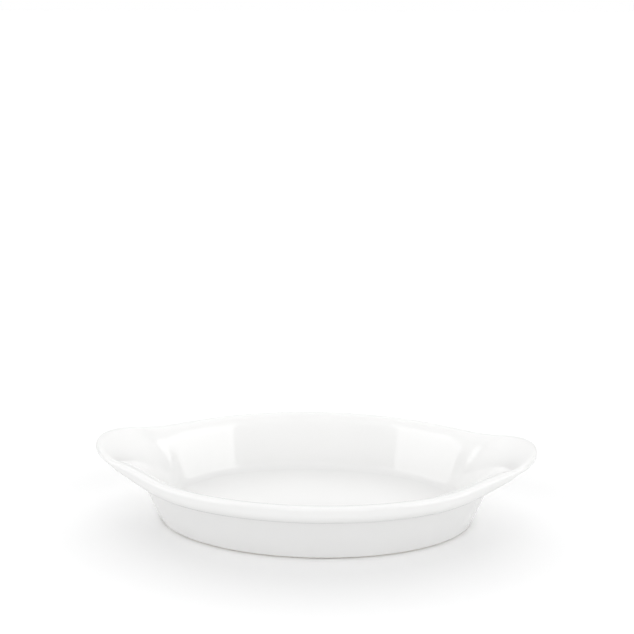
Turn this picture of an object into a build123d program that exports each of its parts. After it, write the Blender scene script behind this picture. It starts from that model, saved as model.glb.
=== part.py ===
from build123d import *

import math
import os

# Oval gratin dish with two ears, in white glazed oven ware.
#
# The real dish is one casting: an oval basin whose wall leans outward, a thick rim
# band, and at each end the band thins and sweeps out and up into a broad ear. Two
# materials make it up. The fired clay body carries the load and shows only on the foot
# ring, which is wiped bare before firing. A glassy glaze covers all the rest, and the
# bare foot ring parts it into the coat of the bowl and the coat of the underside.
#
# Lengths are in millimetres. The dish stands on z = 0, x runs from ear to ear and y
# across. The origin is the middle of the dish on the plane that it stands on.

# Overall size
overall_length = 228.0
overall_width = 126.0
rim_height = 33.8
ear_rise = 7.0
ear_rise_start = 62.5

# Basin, with the outer wall measured at the foot and at the neck under the rim band
foot_length = 163.0
foot_width = 97.0
neck_length = 183.0
neck_width = 119.0
wall_thickness = 4.8
floor_thickness = 4.7
floor_fillet_height = 5.0
floor_fillet_run = 5.5
floor_edge_inset = 15.0

# Foot ring and the recess inside it
recess_depth = 1.9
foot_ring_width = 5.0
foot_cove_run = 2.6
foot_edge_round = 0.9
bare_foot_height = 1.1

# Rim band and ears
band_height = 8.0
band_lower_round = 2.2
crest_round = 1.9
ear_edge_thickness = 3.2
ear_edge_round = 1.45
side_overhang = 3.0
ear_full_overhang = 13.6
side_flare_depth = 4.5
ear_flare_depth = 21.5
side_undercut_angle = 30.0
ear_slope_angle = 18.0

# Plan of the rim, four tangent arcs in each quarter
side_radius = 155.0
side_arc_angle = 18.8
shoulder_radius = 100.0
hollow_radius = 96.5
ear_radius = 28.0

# Glaze
glaze_thickness = 0.35

# Evenness of the curves: sections along each arc of the rim, chords along each curve
side_sections = 3
shoulder_sections = 3
hollow_sections = 3
ear_sections = 6
round_chords = 2
underside_chords = 2
flare_chords = 4
fillet_chords = 2

# Shares of a curve's run that its pull points take
round_pull_share = 0.55
flare_pull_share = 0.4
underside_pull_share = 0.4

# Overlaps that joined solids need, and overruns of the solids that only cut
floor_seam_overlap = 0.05
plate_rim_overlap = 3.0
cut_overrun = 20.0
foot_overrun = 0.5

neck_height = rim_height - band_height
half_length = overall_length / 2
half_width = overall_width / 2


def oval_reach(length, width, azimuth):
    """Distance from the middle of an ellipse to its edge, along an azimuth."""
    along = length / 2
    across = width / 2
    return along * across / math.hypot(across * math.cos(azimuth), along * math.sin(azimuth))


def eased(share):
    """The share held between 0 and 1 and eased at both ends."""
    held = min(max(share, 0), 1)
    return held**2 * (3 - 2 * held)


def toward(azimuth):
    """Unit vector along an azimuth."""
    return Vector(math.cos(azimuth), math.sin(azimuth))


def curve_points(start, pull_in, pull_out, end, chords):
    """Points of a cubic curve cut into chords, both ends included."""
    points = []
    for step in range(chords + 1):
        share = step / chords
        left = 1 - share
        near = start * left**3 + pull_in * (3 * share * left**2)
        far = pull_out * (3 * share**2 * left) + end * share**3
        points.append(near + far)
    return points


def rounded_points(start, corner, end, chords):
    """Points of a rounded corner, both ends included."""
    pull_in = start + (corner - start) * round_pull_share
    pull_out = end + (corner - end) * round_pull_share
    return curve_points(start, pull_in, pull_out, end, chords)


def rim_arcs():
    """The four arcs of a quarter of the rim, from the middle of the side to the ear's tip.

    Each is (centre, signed radius, first azimuth, last azimuth, sections), where the
    azimuths are those of the outward normal. The hollow arc bends the other way, so its
    centre lies outside the dish and its radius is negative.
    """
    side_end = math.radians(90 - side_arc_angle)
    side_centre = Vector(0, half_width - side_radius)
    shoulder_centre = side_centre + toward(side_end) * (side_radius - shoulder_radius)
    ear_centre = Vector(half_length - ear_radius, 0)

    # The hollow arc touches the shoulder's circle and the ear's circle from outside
    from_shoulder = shoulder_radius + hollow_radius
    from_ear = ear_radius + hollow_radius
    between = ear_centre - shoulder_centre
    along = (from_shoulder**2 - from_ear**2 + between.length**2) / (2 * between.length)
    aside = math.sqrt(from_shoulder**2 - along**2)
    axis = between.normalized()
    hollow_centre = shoulder_centre + axis * along + Vector(-axis.Y, axis.X) * aside
    leave = hollow_centre - shoulder_centre
    arrive = hollow_centre - ear_centre
    leave_azimuth = math.atan2(leave.Y, leave.X)
    arrive_azimuth = math.atan2(arrive.Y, arrive.X)
    return [
        (side_centre, side_radius, math.radians(90), side_end, side_sections),
        (shoulder_centre, shoulder_radius, side_end, leave_azimuth, shoulder_sections),
        (hollow_centre, -hollow_radius, leave_azimuth, arrive_azimuth, hollow_sections),
        (ear_centre, ear_radius, arrive_azimuth, 0, ear_sections),
    ]


def quarter_stations():
    """Where the sections of a quarter stand, as (azimuth, rim reach, slant).

    The slant is how much wider a section through the middle of the dish cuts the rim
    than a section square to the rim does.
    """
    found = [(0, half_length, 1)]
    for centre, radius, first, last, sections in reversed(rim_arcs()):
        for step in reversed(range(sections)):
            normal = first + (last - first) * step / sections
            point = centre + toward(normal) * radius
            azimuth = math.atan2(point.Y, point.X)
            found.append((azimuth, point.length, 1 / math.cos(normal - azimuth)))
    return found


def all_stations():
    """The sections' places once round the dish, from one ear's tip and back to it."""
    quarter = quarter_stations()
    mirrored = [(math.pi - azimuth, reach, slant) for azimuth, reach, slant in quarter[:-1]]
    half = quarter + list(reversed(mirrored))
    back = [(azimuth + math.pi, reach, slant) for azimuth, reach, slant in half[1:-1]]
    return half + back


class Section:
    """One upright section from the middle of the dish outward, in (distance, height).

    skin is taken off every glazed face, so 0 gives the glazed dish and the glaze's
    thickness gives the clay under it.
    """

    def __init__(self, azimuth, rim_reach, slant, skin):
        self.azimuth = azimuth
        self.slant = slant
        self.skin = skin
        self.foot_reach = oval_reach(foot_length, foot_width, azimuth)
        neck_reach = oval_reach(neck_length, neck_width, azimuth)
        self.lean = (neck_reach - self.foot_reach) / neck_height
        self.tilt = math.atan(self.lean)
        self.up_wall = Vector(math.sin(self.tilt), math.cos(self.tilt))
        self.level_skin = skin / math.cos(self.tilt)
        self.edge = rim_reach - skin * slant
        self.crest = self.crest_height(rim_reach * math.cos(azimuth)) - skin
        overhang = (rim_reach - neck_reach) / slant
        self.ear_share = eased((overhang - side_overhang) / (ear_full_overhang - side_overhang))

    def crest_height(self, along):
        """The rim is level along the sides and sweeps up into the ears."""
        share = max(0, abs(along) - ear_rise_start) / (half_length - ear_rise_start)
        return rim_height + ear_rise * share**2

    def outer(self, height):
        """Point of the outer wall at a height."""
        return Vector(self.foot_reach + self.lean * height - self.level_skin, height)

    def inner(self, height):
        """Point of the inner wall at a height."""
        level_wall = wall_thickness / math.cos(self.tilt)
        reach = self.foot_reach + self.lean * height - level_wall + self.level_skin
        return Vector(reach, height)

    def blend(self, side_value, ear_value):
        """A value between the side's and the ear's."""
        return side_value + (ear_value - side_value) * self.ear_share

    def foot_points(self):
        """Underside, from inside the floor out over the foot ring to the wall."""
        recess_height = recess_depth + self.skin
        ring_inner = self.foot_reach - foot_ring_width + self.level_skin
        floor_edge = oval_reach(
            foot_length - 2 * floor_edge_inset, foot_width - 2 * floor_edge_inset, self.azimuth
        )
        sole = self.outer(0) - Vector(foot_edge_round, 0)
        return [
            Vector(floor_edge, recess_height),
            Vector(ring_inner - foot_cove_run, recess_height),
            Vector(ring_inner, 0),
            Vector(ring_inner, -foot_overrun),
            sole - Vector(0, foot_overrun),
            *rounded_points(sole, self.outer(0), self.outer(foot_edge_round), round_chords),
        ]

    def rim_points(self):
        """Underside of the band or ear, its edge, its crest and the flare into the basin.

        Along the sides the underside climbs inward from the band's lower edge, so that the
        band stands clear of the wall. Under the ears it climbs outward with the ear.
        """
        thickness = self.blend(band_height, ear_edge_thickness) - 2 * self.skin
        lower_round = self.blend(band_lower_round, ear_edge_round) - self.skin
        upper_round = self.blend(crest_round, ear_edge_round) - self.skin
        flare_height = rim_height - self.blend(side_flare_depth, ear_flare_depth)
        underside_way = toward(math.radians(self.blend(-side_undercut_angle, ear_slope_angle)))
        flare_way = toward(math.radians(self.blend(0, ear_slope_angle)))

        neck = self.outer(neck_height - self.skin)
        low_corner = Vector(self.edge, self.crest - thickness)
        underside_end = low_corner - Vector(lower_round * self.slant, 0)
        face_low = low_corner + Vector(0, lower_round)
        high_corner = Vector(self.edge, self.crest)
        face_high = high_corner - Vector(0, upper_round)
        crest_top = high_corner - Vector(upper_round * self.slant, 0)
        flare_end = self.inner(flare_height)

        underside_pull = (underside_end - neck).length * underside_pull_share
        underside = curve_points(
            neck,
            neck + self.up_wall * underside_pull,
            underside_end - underside_way * underside_pull,
            underside_end,
            underside_chords,
        )
        flare_pull = (crest_top - flare_end).length * flare_pull_share
        flare = curve_points(
            crest_top,
            crest_top - flare_way * flare_pull,
            flare_end + self.up_wall * flare_pull,
            flare_end,
            flare_chords,
        )
        lower_edge = rounded_points(underside_end, low_corner, face_low, round_chords)
        crest = rounded_points(face_high, high_corner, crest_top, round_chords)
        return underside + lower_edge[1:] + crest + flare[1:]

    def basin_points(self):
        """Inner wall's foot, the fillet and the edge of the floor."""
        floor_height = recess_depth + floor_thickness - self.skin
        corner = self.inner(floor_height)
        floor_edge = oval_reach(
            foot_length - 2 * floor_edge_inset, foot_width - 2 * floor_edge_inset, self.azimuth
        )
        fillet_top = self.inner(floor_height + floor_fillet_height)
        fillet_end = corner - Vector(floor_fillet_run, 0)
        fillet = rounded_points(fillet_top, corner, fillet_end, fillet_chords)
        return fillet + [Vector(floor_edge, floor_height)]

    def wire(self):
        """The closed section, stood up on its azimuth."""
        outline = Polyline(
            *self.foot_points(), *self.rim_points(), *self.basin_points(), close=True
        )
        side = Vector(math.sin(self.azimuth), -math.cos(self.azimuth))
        upright = Plane(origin=(0, 0, 0), x_dir=toward(self.azimuth), z_dir=side)
        return Wire(outline.edges()).moved(upright.location)


def floor_plate(skin):
    """The middle of the floor, which laps over the inner edge of the wall's ring."""
    low = recess_depth + skin - floor_seam_overlap
    high = recess_depth + floor_thickness - skin + floor_seam_overlap
    inset = floor_edge_inset - plate_rim_overlap
    outline = Ellipse(foot_length / 2 - inset, foot_width / 2 - inset)
    return extrude(Plane.XY.offset(low) * outline, high - low)


def slab_below(height):
    """Everything near the dish that lies below a height."""
    length = overall_length + cut_overrun
    width = overall_width + cut_overrun
    depth = height + cut_overrun
    block = Box(length, width, depth, align=(Align.CENTER, Align.CENTER, Align.MAX))
    return Pos(0, 0, height) * block


def dish_form(skin):
    """The whole dish, less a skin from every glazed face, cut flat where it stands."""
    sections = [Section(*station, skin).wire() for station in all_stations()]
    ring = Solid.make_loft(sections + sections[:1], ruled=True)
    return ring + floor_plate(skin) - slab_below(0)


def main():
    os.makedirs("parts", exist_ok=True)
    clay_body = dish_form(glaze_thickness)
    glaze = dish_form(0) - slab_below(bare_foot_height) - clay_body
    coats = sorted(glaze.solids(), key=lambda coat: coat.bounding_box().max.Z)
    export_step(clay_body, "parts/fired_clay_body.step")
    export_step(coats[-1], "parts/bowl_glaze.step")
    export_step(coats[0], "parts/underside_glaze.step")


main()
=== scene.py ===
import math

import bmesh
import bpy
from bpy.props import FloatProperty, FloatVectorProperty, PointerProperty
from mathutils import Matrix, Vector


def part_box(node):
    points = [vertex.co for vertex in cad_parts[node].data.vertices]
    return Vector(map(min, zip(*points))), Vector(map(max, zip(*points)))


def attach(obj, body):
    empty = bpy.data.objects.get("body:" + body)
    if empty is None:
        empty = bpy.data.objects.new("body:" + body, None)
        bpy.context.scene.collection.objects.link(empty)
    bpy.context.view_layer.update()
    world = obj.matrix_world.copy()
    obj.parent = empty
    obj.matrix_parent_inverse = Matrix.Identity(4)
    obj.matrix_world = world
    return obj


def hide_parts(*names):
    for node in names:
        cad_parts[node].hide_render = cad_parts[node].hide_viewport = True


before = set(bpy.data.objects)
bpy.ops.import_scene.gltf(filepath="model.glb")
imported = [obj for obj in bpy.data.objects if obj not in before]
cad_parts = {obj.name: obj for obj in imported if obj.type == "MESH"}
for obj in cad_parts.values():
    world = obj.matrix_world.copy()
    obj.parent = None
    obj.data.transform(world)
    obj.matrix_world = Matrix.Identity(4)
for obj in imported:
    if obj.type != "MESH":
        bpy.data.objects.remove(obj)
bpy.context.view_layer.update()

bl_info = {
    "name": "Oval gratin dish",
    "version": (1, 0, 0),
    "blender": (4, 5, 0),
    "location": "3D View > Sidebar > Gratin dish",
    "description": "Models, glazes and lights an oval gratin dish with two ears",
    "category": "Add Mesh",
}

glaze_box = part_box("bowl_glaze")

# Edges bent by more than this angle stay sharp.
smooth_angle = math.radians(50)
# Points nearer to each other than this are one point.
same_point = 1e-6
# Heights nearer to each other than this are the same.
same_height = 1e-7
# How far the handles of a curve and of a rounded corner reach, as shares of their spans.
curve_share = 0.4
round_share = 0.55


def length(name, description, default):
    """A size in metres, as the sidebar shows it."""
    return FloatProperty(
        name=name, description=description, default=default, subtype="DISTANCE", unit="LENGTH", precision=5
    )


def angle(name, description, degrees):
    """An angle, given here in degrees."""
    return FloatProperty(
        name=name, description=description, default=math.radians(degrees), subtype="ANGLE", unit="ROTATION"
    )


def share(name, description, default):
    """A number from 0 to 1."""
    return FloatProperty(
        name=name, description=description, default=default, min=0, max=1, subtype="FACTOR"
    )


def strength(name, description, default):
    """A lamp's or surface's brightness."""
    return FloatProperty(name=name, description=description, default=default, min=0)


def colour(name, description, default):
    """A linear colour."""
    return FloatVectorProperty(
        name=name, description=description, default=default, subtype="COLOR", size=3, min=0, max=1
    )


class DishSizes(bpy.types.PropertyGroup):
    """Sizes of the dish."""

    overall_length: length("Length", "Over both ears", glaze_box[1].x - glaze_box[0].x)
    overall_width: length("Width", "Over the rim band", glaze_box[1].y - glaze_box[0].y)
    ear_height: length("Ear height", "Height of the ears' tips", glaze_box[1].z)
    rim_height: length("Rim height", "Height of the rim along the sides", 0.0338)
    ear_rise_start: length("Rise start", "Where along x the rim starts to rise", 0.0625)
    foot_length: length("Foot length", "Outer wall at the foot, along x", 0.163)
    foot_width: length("Foot width", "Outer wall at the foot, along y", 0.097)
    neck_length: length("Neck length", "Outer wall under the band, along x", 0.183)
    neck_width: length("Neck width", "Outer wall under the band, along y", 0.1174)
    neck_cove: length("Neck cove", "How far below the band the wall starts to turn out", 0.002)
    wall: length("Wall", "Thickness of the leaning wall", 0.0048)
    floor_top: length("Floor top", "Height of the basin's floor", 0.0066)
    fillet_height: length("Fillet height", "Height of the fillet where it meets the wall", 0.003)
    fillet_run: length("Fillet run", "How far the fillet runs over the floor", 0.0035)
    floor_inset: length("Floor inset", "From the foot's oval to the flat floor's", 0.015)
    recess: length("Recess", "Depth of the recess under the dish", 0.0019)
    foot_ring: length("Foot ring", "Width of the ring it stands on", 0.005)
    cove_run: length("Cove run", "Reach of the slope inside the foot ring", 0.0026)
    foot_round: length("Foot round", "Round of the foot's outer edge", 0.0009)
    bare_height: length("Bare height", "How high the foot is wiped bare", 0.0011)
    band: length("Band", "Height of the rim band along the sides", 0.009)
    band_round: length("Band round", "Inward run of the band's lower round", 0.0032)
    band_round_height: length("Band round height", "Height of the band's lower round", 0.0052)
    crest_round: length("Crest round", "Round of the rim's outer crest", 0.0019)
    ear_edge: length("Ear edge", "Thickness at an ear's edge", 0.0032)
    ear_round: length("Ear round", "Round of an ear's edge", 0.00145)
    side_overhang: length("Side overhang", "How far the band stands proud", 0.0038)
    ear_overhang: length("Ear overhang", "Overhang where the ear is full", 0.0136)
    side_flare: length("Side flare", "Depth of the rim's inner round", 0.0045)
    ear_flare: length("Ear flare", "Depth of an ear's sweep into the basin", 0.0215)
    side_undercut: angle("Side undercut", "How the band's underside climbs inward", 5)
    ear_slope: angle("Ear slope", "Slope of an ear at its edge", 18)
    side_radius: length("Side radius", "Radius of the rim along the sides", 0.155)
    side_arc: angle("Side arc", "Angle of the rim's side arc", 18.8)
    shoulder_radius: length("Shoulder radius", "Radius of the rim's shoulders", 0.100)
    hollow_radius: length("Hollow radius", "Radius of the hollow before an ear", 0.0965)
    ear_radius: length("Ear radius", "Radius of an ear's end", 0.028)
    glaze: length("Glaze", "Thickness of the glaze", 0.00035)


class DishFinish(bpy.types.PropertyGroup):
    """Colours and finish of the dish."""

    glaze_white: colour("Glaze", "White of the glaze", (0.85, 0.85, 0.845))
    glaze_shade: colour("Glaze shade", "Where the glaze lies thin", (0.82, 0.818, 0.81))
    glaze_drift: share("Glaze drift", "How far the glaze drifts to its shade", 0.5)
    glaze_gloss: share("Glaze roughness", "Least roughness of the glassy surface", 0.03)
    gloss_drift: share("Roughness drift", "How much rougher the glaze gets in places", 0.02)
    pinhole: colour("Pinhole", "Tint of a pinhole in the glaze", (0.55, 0.51, 0.45))
    pinhole_tint: share("Pinhole tint", "How far a pinhole takes its tint", 0.12)
    pinhole_depth: length("Pinhole depth", "Depth of a pinhole", 0.00003)
    wave_height: length("Wave height", "Height of the glaze's slow waves", 0.00006)
    peel_height: length("Peel height", "Height of the glaze's fine ripple", 0.0000022)
    clay: colour("Clay", "Bare fired clay", (0.80, 0.78, 0.74))
    clay_dark: colour("Clay grain", "Darker patches and grains of the clay", (0.64, 0.61, 0.56))
    clay_worn: colour("Worn clay", "Specks and rubbed marks on the clay", (0.50, 0.49, 0.47))
    clay_rough: share("Clay roughness", "Least roughness of the clay", 0.72)
    grain_height: length("Grain height", "Height of the clay's grain", 0.00004)
    patch_height: length("Patch height", "Height of the clay's patches", 0.00005)


class StudioSettings(bpy.types.PropertyGroup):
    """Camera and lamps."""

    distance: length("Distance", "Camera to the middle of the foot", 0.600)
    elevation: angle("Elevation", "Camera above the table", 26.2)
    turn: angle("Turn", "Camera round from straight ahead", 3.42)
    focus: FloatProperty(name="Focal length", description="In picture widths", default=1.7669)
    middle_across: share("Middle across", "Where the foot's middle is, from the left", 0.4968)
    middle_down: share("Middle down", "Where the foot's middle is, from the top", 0.8111)
    room: strength("Room light", "Soft light from all round, below the lamps", 1.17)
    back: strength("Back light", "Wide soft light from above and behind", 1.30)
    back_lean: angle("Back lean", "How the back light leans, negative from behind", -30)
    front: strength("Front light", "Wide soft light from above and in front", 0.50)
    front_lean: angle("Front lean", "How the front light leans, positive from in front", 35)
    lamp_spread: angle("Lamp spread", "How wide the back and front lights look", 70)
    left: strength("Left softbox", "Brightness against white", 1.65)
    right: strength("Right softbox", "Brightness against white", 1.9)
    spill: share("Softbox spill", "Share of their brightness that the softboxes throw on the scene", 0.35)
    white: strength("White room", "How bright mirrors and the camera see the room", 1.0)
    table_size: length("Table size", "Side of the square table", 30)
    table_glow: strength("Table glow", "White that the table adds for the camera", 0.015)
    table: colour("Table", "Matt white table, as the camera sees it", (0.91, 0.91, 0.91))
    table_bounce: colour("Table bounce", "What the table throws back", (0.69, 0.69, 0.69))


class Section:
    """One upright section of the dish from its middle outward, as (reach, height) points.

    Its skin is how deep the surface lies under the glaze's own.
    """

    def __init__(self, sizes, azimuth, rim_reach, slant, skin):
        self.sizes = sizes
        self.azimuth = azimuth
        self.slant = slant
        self.skin = skin
        self.neck_height = sizes.rim_height - sizes.band
        self.foot_reach = oval_reach(sizes.foot_length, sizes.foot_width, azimuth)
        neck_reach = oval_reach(sizes.neck_length, sizes.neck_width, azimuth)
        self.lean = (neck_reach - self.foot_reach) / self.neck_height
        self.tilt = math.atan(self.lean)
        self.up_wall = Vector((math.sin(self.tilt), math.cos(self.tilt)))
        self.level_skin = skin / math.cos(self.tilt)
        self.edge = rim_reach - skin * slant
        along = abs(rim_reach * math.cos(azimuth))
        run = max(0, along - sizes.ear_rise_start) / (sizes.overall_length / 2 - sizes.ear_rise_start)
        self.crest = sizes.rim_height + (sizes.ear_height - sizes.rim_height) * run**2 - skin
        overhang = (rim_reach - neck_reach) / slant
        self.ear_share = eased(
            (overhang - sizes.side_overhang) / (sizes.ear_overhang - sizes.side_overhang)
        )
        self.ring_inner = self.foot_reach - sizes.foot_ring + self.level_skin
        self.flare_height = sizes.rim_height - self.blend(sizes.side_flare, sizes.ear_flare)

    def outer(self, height):
        """Point of the outer wall."""
        return Vector((self.foot_reach + self.lean * height - self.level_skin, height))

    def inner(self, height):
        """Point of the inner wall."""
        level_wall = self.sizes.wall / math.cos(self.tilt)
        return Vector((self.foot_reach + self.lean * height - level_wall + self.level_skin, height))

    def blend(self, side_value, ear_value):
        """A value between the side's and the ear's."""
        return side_value + (ear_value - side_value) * self.ear_share

    def flat_edge(self):
        """Reach of the flat middle of the floor."""
        inset = 2 * self.sizes.floor_inset
        return oval_reach(self.sizes.foot_length - inset, self.sizes.foot_width - inset, self.azimuth)

    def underside(self):
        """From the flat of the recess out to the inner edge of the foot ring's sole."""
        recess = self.sizes.recess + self.skin
        cove_top = Vector((self.ring_inner - self.sizes.cove_run, recess))
        cove_foot = Vector((self.ring_inner, 0))
        slope = (cove_foot - cove_top).normalized()
        ease = min(self.sizes.cove_run, self.sizes.recess) / 3
        bend = curve(
            cove_top - Vector((ease, 0)), cove_top, cove_top, cove_top + slope * ease, runs=5
        )
        return [Vector((self.flat_edge(), recess))] + bend + [cove_foot]

    def sole(self):
        """The flat that the dish stands on and the round of its outer edge."""
        sole_inner = Vector((self.ring_inner, 0))
        sole_outer = self.outer(0) - Vector((self.sizes.foot_round, 0))
        edge = rounded(sole_outer, self.outer(0), self.outer(self.sizes.foot_round), runs=5)
        return even(sole_inner, sole_outer, runs=4)[:-1] + edge

    def wall_top(self):
        """Point where the outer wall starts to turn out under the band or ear."""
        return self.outer(self.neck_height - self.skin - self.blend(self.sizes.neck_cove, 0))

    def wall_up(self, start_height):
        """The outer wall from a height up to its top."""
        return even(self.outer(start_height), self.wall_top(), runs=8)[:-1]

    def rim(self):
        """Underside of the band or ear, its edge, its crest and the flare into the basin."""
        sizes = self.sizes
        thickness = self.blend(sizes.band, sizes.ear_edge) - 2 * self.skin
        lower_round = self.blend(sizes.band_round, sizes.ear_round) - self.skin
        upper_round = self.blend(sizes.crest_round, sizes.ear_round) - self.skin
        lower_rise = self.blend(sizes.band_round_height, sizes.ear_round) - self.skin
        under_slope = self.blend(-sizes.side_undercut, sizes.ear_slope)
        under_way = heading(under_slope)
        flare_way = heading(sizes.ear_slope * self.ear_share)
        neck = self.wall_top()
        low_corner = Vector((self.edge, self.crest - thickness))
        under_end = low_corner - Vector((lower_round * self.slant, 0))
        face_low = low_corner + Vector((0, lower_rise))
        high_corner = Vector((self.edge, self.crest))
        face_high = high_corner - Vector((0, upper_round))
        crest_top = high_corner - Vector((upper_round * self.slant, 0))
        flare_end = self.inner(self.flare_height)
        under_pull = (under_end - neck).length * curve_share
        under = curve(
            neck,
            neck + self.up_wall * under_pull,
            under_end - under_way * under_pull,
            under_end,
            runs=10,
        )
        flare_pull = (crest_top - flare_end).length * curve_share
        flare = curve(
            crest_top,
            crest_top - flare_way * flare_pull,
            flare_end + self.up_wall * flare_pull,
            flare_end,
            runs=18,
        )
        lower = rounded(under_end, low_corner, face_low, runs=8)
        upper = rounded(face_high, high_corner, crest_top, runs=8)
        face = even(face_low, face_high, runs=4)
        return under + lower[1:] + face[1:-1] + upper + flare[1:]

    def basin(self):
        """The inner wall below the flare, the fillet and the edge of the flat floor."""
        floor_height = self.sizes.floor_top - self.skin
        corner = self.inner(floor_height)
        fillet_top = self.inner(floor_height + self.sizes.fillet_height)
        fillet_end = corner - Vector((self.sizes.fillet_run, 0))
        wall = even(self.inner(self.flare_height), fillet_top, runs=6)[1:-1]
        fillet = rounded(fillet_top, corner, fillet_end, runs=12)
        return wall + fillet + [Vector((self.flat_edge(), floor_height))]


def oval_reach(long_axis, short_axis, azimuth):
    """Distance from the middle of an ellipse to its edge, along an azimuth."""
    along = long_axis / 2
    across = short_axis / 2
    return along * across / math.hypot(across * math.cos(azimuth), along * math.sin(azimuth))


def heading(bearing):
    """A step of length one at an angle."""
    return Vector((math.cos(bearing), math.sin(bearing)))


def eased(value):
    """The value held between 0 and 1 and eased at both ends."""
    held = min(max(value, 0), 1)
    return held**2 * (3 - 2 * held)


def even(start, end, runs):
    """Points along a straight line."""
    return [start.lerp(end, step / runs) for step in range(runs + 1)]


def curve(start, pull_in, pull_out, end, runs):
    """Points along a cubic curve."""
    points = []
    for step in range(runs + 1):
        t = step / runs
        near = start * (1 - t) ** 3 + pull_in * (3 * t * (1 - t) ** 2)
        far = pull_out * (3 * t**2 * (1 - t)) + end * t**3
        points.append(near + far)
    return points


def rounded(start, corner, end, runs):
    """Points of a rounded corner."""
    return curve(start, start.lerp(corner, round_share), end.lerp(corner, round_share), end, runs)


def rim_places(sizes):
    """Where the sections stand round the dish, as (azimuth, rim reach, slant of the rim there).

    A quarter of the rim is four arcs that touch: ear, hollow, shoulder and side.
    """
    half_length = sizes.overall_length / 2
    side_end = math.pi / 2 - sizes.side_arc
    side_centre = Vector((0, sizes.overall_width / 2 - sizes.side_radius))
    step = sizes.side_radius - sizes.shoulder_radius
    shoulder_centre = side_centre + heading(side_end) * step
    ear_centre = Vector((half_length - sizes.ear_radius, 0))
    from_shoulder = sizes.shoulder_radius + sizes.hollow_radius
    from_ear = sizes.ear_radius + sizes.hollow_radius
    between = ear_centre - shoulder_centre
    along = (from_shoulder**2 - from_ear**2 + between.length**2) / (2 * between.length)
    aside = math.sqrt(from_shoulder**2 - along**2)
    axis = between.normalized()
    hollow_centre = shoulder_centre + axis * along + Vector((-axis.y, axis.x)) * aside
    leave = hollow_centre - shoulder_centre
    arrive = hollow_centre - ear_centre
    leave_azimuth = math.atan2(leave.y, leave.x)
    arrive_azimuth = math.atan2(arrive.y, arrive.x)
    arcs = (
        (ear_centre, sizes.ear_radius, 0, arrive_azimuth, 20),
        (hollow_centre, -sizes.hollow_radius, arrive_azimuth, leave_azimuth, 9),
        (shoulder_centre, sizes.shoulder_radius, leave_azimuth, side_end, 13),
        (side_centre, sizes.side_radius, side_end, math.pi / 2, 18),
    )
    quarter = []
    for centre, radius, first, last, runs in arcs:
        for run in range(runs):
            normal = first + (last - first) * run / runs
            point = centre + heading(normal) * radius
            azimuth = math.atan2(point.y, point.x)
            quarter.append((azimuth, point.length, 1 / math.cos(normal - azimuth)))
    side = [(math.pi / 2, sizes.overall_width / 2, 1)]
    mirrored = [(math.pi - place, reach, slant) for place, reach, slant in reversed(quarter)]
    half = quarter + side + mirrored
    back = [(place + math.pi, reach, slant) for place, reach, slant in half[1:-1]]
    return half + back


def placed(azimuth, point):
    """A section's point where it stands in the dish."""
    return Vector((math.cos(azimuth), math.sin(azimuth), 0)) * point.x + Vector((0, 0, point.y))


def rings_from(places, sizes, skin, outline):
    """Turn the sections' points into rings round the dish, first to last."""
    sections = []
    for azimuth, reach, slant in places:
        points = outline(Section(sizes, azimuth, reach, slant, skin))
        sections.append([placed(azimuth, point) for point in points])
    return [list(ring) for ring in zip(*sections)]


def deselect_all():
    """Nothing selected and nothing in edit mode."""
    if bpy.context.object and bpy.context.object.mode != "OBJECT":
        bpy.ops.object.mode_set(mode="OBJECT")
    bpy.ops.object.select_all(action="DESELECT")


def set_ring(piece, places, ring):
    """Move the selected ring of vertices onto its places, in order of azimuth."""
    mesh = bmesh.from_edit_mesh(piece.data)
    shift = (places[1][0] - places[0][0]) / 2
    order = sorted(
        (vertex for vertex in mesh.verts if vertex.select),
        key=lambda vertex: (math.atan2(vertex.co.y, vertex.co.x) + shift) % math.tau,
    )
    for vertex, place in zip(order, ring, strict=True):
        vertex.co = place
    bmesh.update_edit_mesh(piece.data)


def close_middle():
    """Draw the selected ring in to the middle in nearly even steps and close it."""
    for scale in (0.8, 0.72, 0.6, 0.4):
        bpy.ops.mesh.extrude_region_move()
        bpy.ops.transform.resize(value=(scale, scale, 1), center_override=(0, 0, 0))
    bpy.ops.mesh.extrude_region_move()
    bpy.ops.mesh.merge(type="CENTER")


def select_open_ring(piece, ring):
    """Select the open edge that lies on a ring."""
    bpy.ops.mesh.select_all(action="DESELECT")
    mesh = bmesh.from_edit_mesh(piece.data)
    reach = max(point.length for point in ring) + same_point
    for edge in mesh.edges:
        level = all(abs(vertex.co.z - ring[0].z) < same_height for vertex in edge.verts)
        if edge.is_boundary and level and edge.verts[0].co.length < reach:
            edge.select_set(True)
    bmesh.update_edit_mesh(piece.data)


def model_rings(name, places, rings, close_first, close_last):
    """Model a form ring by ring, from a circle extruded through the rest."""
    deselect_all()
    widest = max(point.length for point in rings[0])
    bpy.ops.mesh.primitive_circle_add(vertices=len(places), radius=widest, location=(0, 0, 0))
    piece = bpy.context.object
    piece.name = name
    bpy.ops.object.mode_set(mode="EDIT")
    bpy.ops.mesh.select_mode(type="VERT")
    bpy.ops.mesh.select_all(action="SELECT")
    set_ring(piece, places, rings[0])
    for ring in rings[1:]:
        bpy.ops.mesh.extrude_region_move()
        set_ring(piece, places, ring)
    if close_last:
        close_middle()
    if close_first:
        select_open_ring(piece, rings[0])
        close_middle()
    bpy.ops.mesh.select_all(action="SELECT")
    bpy.ops.mesh.remove_doubles(threshold=same_point)
    bpy.ops.mesh.normals_make_consistent(inside=False)
    bpy.ops.object.mode_set(mode="OBJECT")
    return piece


def face_check(piece, point, wanted):
    """Turn the whole surface over where the face nearest a point looks the wrong way."""
    nearest = min(piece.data.polygons, key=lambda face: (face.center - point).length)
    if nearest.normal.dot(wanted) < 0:
        bpy.ops.object.mode_set(mode="EDIT")
        bpy.ops.mesh.select_all(action="SELECT")
        bpy.ops.mesh.flip_normals()
        bpy.ops.object.mode_set(mode="OBJECT")


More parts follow.
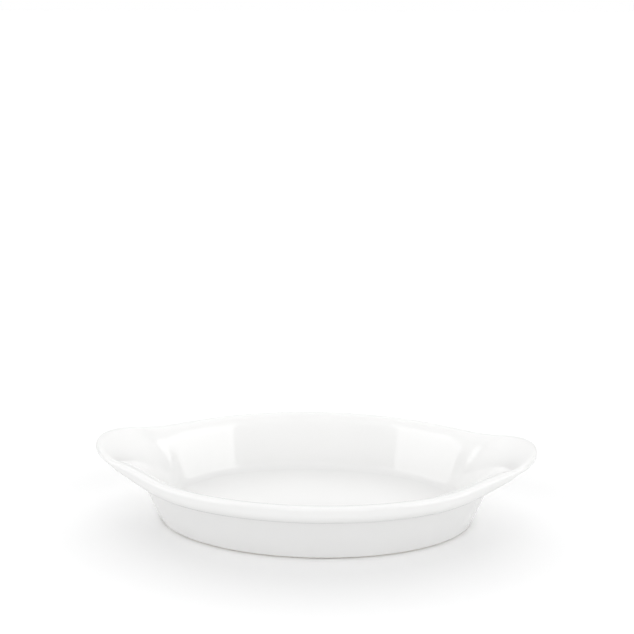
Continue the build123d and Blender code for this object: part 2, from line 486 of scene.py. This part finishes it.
def thicken(piece, thickness):
    """Give an open surface its thickness, inward."""
    modifier = piece.modifiers.new("Coat", "SOLIDIFY")
    modifier.thickness = thickness
    modifier.offset = -1
    bpy.ops.object.modifier_apply(modifier=modifier.name)


def finish_piece(piece, material, node):
    """Shade, dress and declare a finished piece."""
    deselect_all()
    piece.select_set(True)
    bpy.context.view_layer.objects.active = piece
    bpy.ops.object.shade_smooth_by_angle(angle=smooth_angle)
    piece.data.materials.clear()
    piece.data.materials.append(material)
    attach(piece, "root")
    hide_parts(node)


class Signal:
    """A number on its way through a material's nodes, usable in sums."""

    def __init__(self, recipe, socket):
        self.recipe = recipe
        self.socket = socket

    def combine(self, operation, first, second):
        """The result of a Math node."""
        node = self.recipe.node("ShaderNodeMath", {"operation": operation}, {0: first, 1: second})
        return self.recipe.signal(node, 0)

    def __add__(self, other):
        return self.combine("ADD", self, other)

    __radd__ = __add__

    def __mul__(self, other):
        return self.combine("MULTIPLY", self, other)

    __rmul__ = __mul__

    def __sub__(self, other):
        return self.combine("SUBTRACT", self, other)

    def __rsub__(self, other):
        return self.combine("SUBTRACT", other, self)


class Recipe:
    """The nodes of one material or world."""

    def __init__(self, owner):
        owner.use_nodes = True
        self.tree = owner.node_tree
        self.tree.nodes.clear()

    def node(self, kind, settings=None, inputs=None):
        """Add a node, set it up, then set or link its inputs."""
        node = self.tree.nodes.new(kind)
        for name, value in (settings or {}).items():
            if name == "stops":
                ramp = node.color_ramp
                while len(ramp.elements) < len(value):
                    ramp.elements.new(0.5)
                for element, (place, tone) in zip(ramp.elements, value):
                    element.position = place
                    element.color = (tone, tone, tone, 1)
            else:
                setattr(node, name, value)
        for name, value in (inputs or {}).items():
            if isinstance(value, Signal):
                self.tree.links.new(value.socket, node.inputs[name])
            elif isinstance(value, bpy.types.NodeSocket):
                self.tree.links.new(value, node.inputs[name])
            else:
                node.inputs[name].default_value = value
        return node

    def signal(self, node, output):
        """A node's output as a number to reckon with."""
        return Signal(self, node.outputs[output])

    def place(self, name):
        """A texture coordinate."""
        return self.node("ShaderNodeTexCoord").outputs[name]

    def noise(self, coordinates, scale, detail, roughness=0.5):
        """Smooth noise from 0 to 1."""
        node = self.node(
            "ShaderNodeTexNoise",
            None,
            {"Vector": coordinates, "Scale": scale, "Detail": detail, "Roughness": roughness},
        )
        return self.signal(node, 0)

    def ramp(self, factor, stops):
        """A number drawn through stops of (place, value)."""
        node = self.node("ShaderNodeValToRGB", {"stops": stops}, {0: factor})
        return self.signal(node, 0)

    def mixed(self, factor, first, second):
        """Two colours mixed by a number."""
        node = self.node(
            "ShaderNodeMix",
            {"data_type": "RGBA"},
            {"Factor": factor, 6: as_colour(first), 7: as_colour(second)},
        )
        return node.outputs[2]

    def bump(self, relief):
        """The normal of a surface with a relief, which is in metres."""
        node = self.node("ShaderNodeBump", None, {"Strength": 1.0, "Distance": 1.0, "Height": relief})
        return node.outputs[0]


def as_colour(value):
    """Three numbers as a colour with alpha, and a link as it is."""
    if isinstance(value, bpy.types.NodeSocket):
        return value
    return (*value, 1)


def glaze_material(finish):
    """Glassy white glaze: even body, slow waves in the gloss, faint pinholes."""
    material = bpy.data.materials.new("White glaze")
    recipe = Recipe(material)
    place = recipe.place("Object")
    drift = recipe.noise(place, scale=28, detail=2)
    wave = recipe.noise(place, scale=60, detail=2)
    peel = recipe.noise(place, scale=900, detail=2)
    cells = recipe.node(
        "ShaderNodeTexVoronoi", {"feature": "F1"}, {"Vector": place, "Scale": 240, "Randomness": 1.0}
    )
    dot = recipe.ramp(recipe.signal(cells, "Distance"), ((0.03, 1), (0.09, 0)))
    sparse = recipe.ramp(recipe.noise(place, scale=55, detail=1), ((0.62, 0), (0.66, 1)))
    pinhole = dot * sparse
    body = recipe.mixed(drift * finish.glaze_drift, finish.glaze_white, finish.glaze_shade)
    tint = recipe.mixed(pinhole * finish.pinhole_tint, body, finish.pinhole)
    relief = wave * finish.wave_height + peel * finish.peel_height - pinhole * finish.pinhole_depth
    shader = recipe.node(
        "ShaderNodeBsdfPrincipled",
        None,
        {
            "Base Color": tint,
            "Roughness": finish.glaze_gloss + drift * finish.gloss_drift,
            "IOR": 1.5,
            "Normal": recipe.bump(relief),
        },
    )
    recipe.node("ShaderNodeOutputMaterial", None, {"Surface": shader.outputs[0]})
    return material


def clay_material(finish):
    """Bare fired clay, fine grained and rubbed grey where it stands."""
    patch_share = 0.5
    grain_share = 0.3
    speck_share = 0.35
    rub_share = 0.25
    grain_rough = 0.2
    material = bpy.data.materials.new("Fired clay")
    recipe = Recipe(material)
    place = recipe.place("Object")
    grain = recipe.noise(place, scale=2600, detail=3)
    patches = recipe.noise(place, scale=90, detail=3)
    specks = recipe.ramp(recipe.noise(place, scale=1500, detail=2), ((0.60, 0), (0.68, 1)))
    rubbed = recipe.ramp(
        recipe.noise(place, scale=160, detail=4, roughness=0.7), ((0.52, 0), (0.66, 1))
    )
    tone = recipe.mixed(patches * patch_share + grain * grain_share, finish.clay, finish.clay_dark)
    worn = recipe.mixed(specks * speck_share + rubbed * rub_share, tone, finish.clay_worn)
    relief = grain * finish.grain_height + patches * finish.patch_height
    shader = recipe.node(
        "ShaderNodeBsdfPrincipled",
        None,
        {
            "Base Color": worn,
            "Roughness": finish.clay_rough + grain * grain_rough,
            "Normal": recipe.bump(relief),
        },
    )
    recipe.node("ShaderNodeOutputMaterial", None, {"Surface": shader.outputs[0]})
    return material


def seen_directly(recipe):
    """One for rays from the camera, a mirror or glass, and zero for light on its way."""
    path = recipe.node("ShaderNodeLightPath")
    camera = recipe.signal(path, "Is Camera Ray")
    return camera + recipe.signal(path, "Is Glossy Ray") + recipe.signal(path, "Is Transmission Ray")


def table_material(studio):
    """Matt white table that the camera sees as white wherever no shadow falls."""
    material = bpy.data.materials.new("White table")
    recipe = Recipe(material)
    seen = seen_directly(recipe)
    white = recipe.mixed(seen, studio.table_bounce, studio.table)
    matt = recipe.node("ShaderNodeBsdfDiffuse", None, {"Color": white})
    glow = recipe.node(
        "ShaderNodeEmission", None, {"Color": (1, 1, 1, 1), "Strength": seen * studio.table_glow}
    )
    both = recipe.node("ShaderNodeAddShader", None, {0: matt.outputs[0], 1: glow.outputs[0]})
    recipe.node("ShaderNodeOutputMaterial", None, {"Surface": both.outputs[0]})
    return material


def softbox(recipe, side, brightness, spill):
    """A tall softbox off to one side, in front, that mirrors show and the camera doesn't.

    Other rays get its spill. Its stops are in half turns from straight in front, and in heights
    from 0 at the horizon to 1 overhead.
    """
    breadth_stops = ((0.20, 0), (0.21, 1), (0.49, 1), (0.50, 0))
    height_stops = ((0.01, 0), (0.02, 1), (0.74, 1), (0.76, 0))
    way = recipe.node("ShaderNodeSeparateXYZ", None, {0: recipe.place("Generated")})
    aside = recipe.signal(way, "X") * side
    toward_front = recipe.signal(way, "Y") * -1
    turn = aside.combine("ARCTAN2", aside, toward_front) * (1 / math.pi)
    breadth = recipe.ramp(turn, breadth_stops)
    height = recipe.ramp(recipe.signal(way, "Z"), height_stops)
    path = recipe.node("ShaderNodeLightPath")
    mirrored = recipe.signal(path, "Is Glossy Ray")
    spilled = 1 - mirrored - recipe.signal(path, "Is Camera Ray")
    return breadth * height * (mirrored + spilled * spill) * brightness


def white_room(studio):
    """Soft light from all round, up to the lamps, in a room that looks white.

    The camera sees plain white, and mirrors see it dimmed toward the horizon. The stops are in
    heights from 0 at the horizon to 1 overhead.
    """
    light_stops = ((0.62, 1), (0.78, 0))
    mirror_stops = ((0.15, 0.3), (0.6, 1))
    world = bpy.data.worlds.new("White room")
    bpy.context.scene.world = world
    recipe = Recipe(world)
    way = recipe.node("ShaderNodeSeparateXYZ", None, {0: recipe.place("Generated")})
    height = recipe.signal(way, "Z")
    lit = recipe.ramp(height, light_stops)
    seen = seen_directly(recipe)
    camera = recipe.signal(recipe.node("ShaderNodeLightPath"), "Is Camera Ray")
    white = camera + (1 - camera) * recipe.ramp(height, mirror_stops)
    level = lit * (1 - seen) * studio.room + seen * white * studio.white
    level = level + softbox(recipe, -1, studio.left, studio.spill)
    level = level + softbox(recipe, 1, studio.right, studio.spill)
    background = recipe.node(
        "ShaderNodeBackground", None, {"Color": (1, 1, 1, 1), "Strength": level}
    )
    recipe.node("ShaderNodeOutputWorld", None, {"Surface": background.outputs[0]})


class GRATIN_OT_bowl_glaze(bpy.types.Operator):
    """Model the coat of glaze over the wall, rim, ears and inside"""

    bl_idname = "gratin.bowl_glaze"
    bl_label = "Bowl glaze"

    def execute(self, context):
        sizes = context.scene.gratin_sizes
        places = rim_places(sizes)
        rings = rings_from(
            places,
            sizes,
            0,
            lambda section: section.wall_up(sizes.bare_height) + section.rim() + section.basin(),
        )
        piece = model_rings("bowl_glaze_coat", places, rings, close_first=False, close_last=True)
        face_check(piece, Vector((0, 0, sizes.floor_top)), Vector((0, 0, 1)))
        thicken(piece, sizes.glaze)
        finish_piece(piece, bpy.data.materials["White glaze"], "bowl_glaze")
        return {"FINISHED"}


class GRATIN_OT_underside_glaze(bpy.types.Operator):
    """Model the coat of glaze in the recess under the dish"""

    bl_idname = "gratin.underside_glaze"
    bl_label = "Underside glaze"

    def execute(self, context):
        sizes = context.scene.gratin_sizes
        places = rim_places(sizes)
        rings = rings_from(places, sizes, 0, lambda section: section.underside())
        rings = [ring for ring in rings if ring[0].z > sizes.bare_height]
        rings.append(edge_of_bare_foot(places, sizes))
        piece = model_rings("underside_glaze_coat", places, rings, close_first=True, close_last=False)
        face_check(piece, Vector((0, 0, sizes.recess)), Vector((0, 0, -1)))
        thicken(piece, sizes.glaze)
        finish_piece(piece, bpy.data.materials["White glaze"], "underside_glaze")
        return {"FINISHED"}


def edge_of_bare_foot(places, sizes):
    """The ring on the cove's slope where the wiped foot begins."""
    ring = []
    for azimuth, reach, slant in places:
        section = Section(sizes, azimuth, reach, slant, 0)
        top, foot = section.underside()[-2:]
        point = top.lerp(foot, (top.y - sizes.bare_height) / top.y)
        ring.append(placed(azimuth, point))
    return ring


class GRATIN_OT_clay_body(bpy.types.Operator):
    """Model the fired clay body with its bare foot ring"""

    bl_idname = "gratin.clay_body"
    bl_label = "Clay body"

    def execute(self, context):
        sizes = context.scene.gratin_sizes
        places = rim_places(sizes)
        rings = rings_from(
            places,
            sizes,
            sizes.glaze,
            lambda section: section.underside()
            + section.sole()[1:]
            + section.wall_up(sizes.foot_round)[1:]
            + section.rim()
            + section.basin(),
        )
        piece = model_rings("clay_body", places, rings, close_first=True, close_last=True)
        face_check(piece, Vector((0, 0, sizes.recess)), Vector((0, 0, -1)))
        finish_piece(piece, bpy.data.materials["Fired clay"], "fired_clay_body")
        return {"FINISHED"}


class GRATIN_OT_finishes(bpy.types.Operator):
    """Mix the glaze and the bare clay"""

    bl_idname = "gratin.finishes"
    bl_label = "Finishes"

    def execute(self, context):
        finish = context.scene.gratin_finish
        glaze_material(finish)
        clay_material(finish)
        return {"FINISHED"}


class GRATIN_OT_stage(bpy.types.Operator):
    """Lay the table and set the lamps and the camera"""

    bl_idname = "gratin.stage"
    bl_label = "Stage"

    def execute(self, context):
        studio = context.scene.gratin_studio
        deselect_all()
        bpy.ops.mesh.primitive_plane_add(size=studio.table_size, location=(0, 0, 0))
        table = context.object
        table.name = "table"
        table.data.materials.append(table_material(studio))
        white_room(studio)
        wide_light("back light", studio.back_lean, studio.lamp_spread, studio.back)
        wide_light("front light", studio.front_lean, studio.lamp_spread, studio.front)
        set_camera(studio)
        context.scene.view_settings.view_transform = "Standard"
        return {"FINISHED"}


def wide_light(name, lean, spread, energy):
    """A wide soft light from above, leant from behind or from in front, that mirrors don't show."""
    bpy.ops.object.light_add(type="SUN", location=(0, 0, 1))
    lamp = bpy.context.object
    lamp.name = name
    lamp.data.energy = energy
    lamp.data.angle = spread
    lamp.rotation_euler = (lean, 0, 0)
    lamp.visible_glossy = False


def set_camera(studio):
    """Stand the camera so that the foot's middle falls on its place in the picture."""
    sensor_width = 36
    high = studio.elevation
    back = Vector(
        (math.sin(studio.turn) * math.cos(high), -math.cos(studio.turn) * math.cos(high), math.sin(high))
    )
    ahead = -back
    right = ahead.cross(Vector((0, 0, 1))).normalized()
    up = right.cross(ahead)
    across = math.atan((studio.middle_across - 0.5) / studio.focus)
    down = math.atan((0.5 - studio.middle_down) / studio.focus)
    panned = ahead * math.cos(across) - right * math.sin(across)
    side = right * math.cos(across) + ahead * math.sin(across)
    view = panned * math.cos(down) - up * math.sin(down)
    top = up * math.cos(down) + panned * math.sin(down)
    bpy.ops.object.camera_add(location=back * studio.distance)
    camera = bpy.context.object
    camera.name = "camera"
    turn = Matrix((side, top, -view)).transposed()
    camera.rotation_euler = turn.to_euler()
    camera.data.sensor_width = sensor_width
    camera.data.lens = studio.focus * sensor_width
    bpy.context.scene.camera = camera


class GRATIN_PT_dish(bpy.types.Panel):
    """Sizes, finishes and steps of the gratin dish"""

    bl_idname = "GRATIN_PT_dish"
    bl_label = "Gratin dish"
    bl_space_type = "VIEW_3D"
    bl_region_type = "UI"
    bl_category = "Gratin dish"

    def draw(self, context):
        scene = context.scene
        for step in steps:
            self.layout.operator(step.bl_idname)
        for group in (scene.gratin_sizes, scene.gratin_finish, scene.gratin_studio):
            box = self.layout.box()
            for name in group.__annotations__:
                box.prop(group, name)


steps = (
    GRATIN_OT_finishes,
    GRATIN_OT_clay_body,
    GRATIN_OT_underside_glaze,
    GRATIN_OT_bowl_glaze,
    GRATIN_OT_stage,
)
groups = {"gratin_sizes": DishSizes, "gratin_finish": DishFinish, "gratin_studio": StudioSettings}


def register():
    for group in groups.values():
        bpy.utils.register_class(group)
    for step in steps:
        bpy.utils.register_class(step)
    bpy.utils.register_class(GRATIN_PT_dish)
    for name, group in groups.items():
        setattr(bpy.types.Scene, name, PointerProperty(type=group))


def unregister():
    for name in groups:
        delattr(bpy.types.Scene, name)
    for owner in (GRATIN_PT_dish, *reversed(steps), *reversed(groups.values())):
        bpy.utils.unregister_class(owner)


def main():
    register()
    bpy.ops.gratin.finishes()
    bpy.ops.gratin.clay_body()
    bpy.ops.gratin.underside_glaze()
    bpy.ops.gratin.bowl_glaze()
    bpy.ops.gratin.stage()


if __name__ == "__main__":
    main()
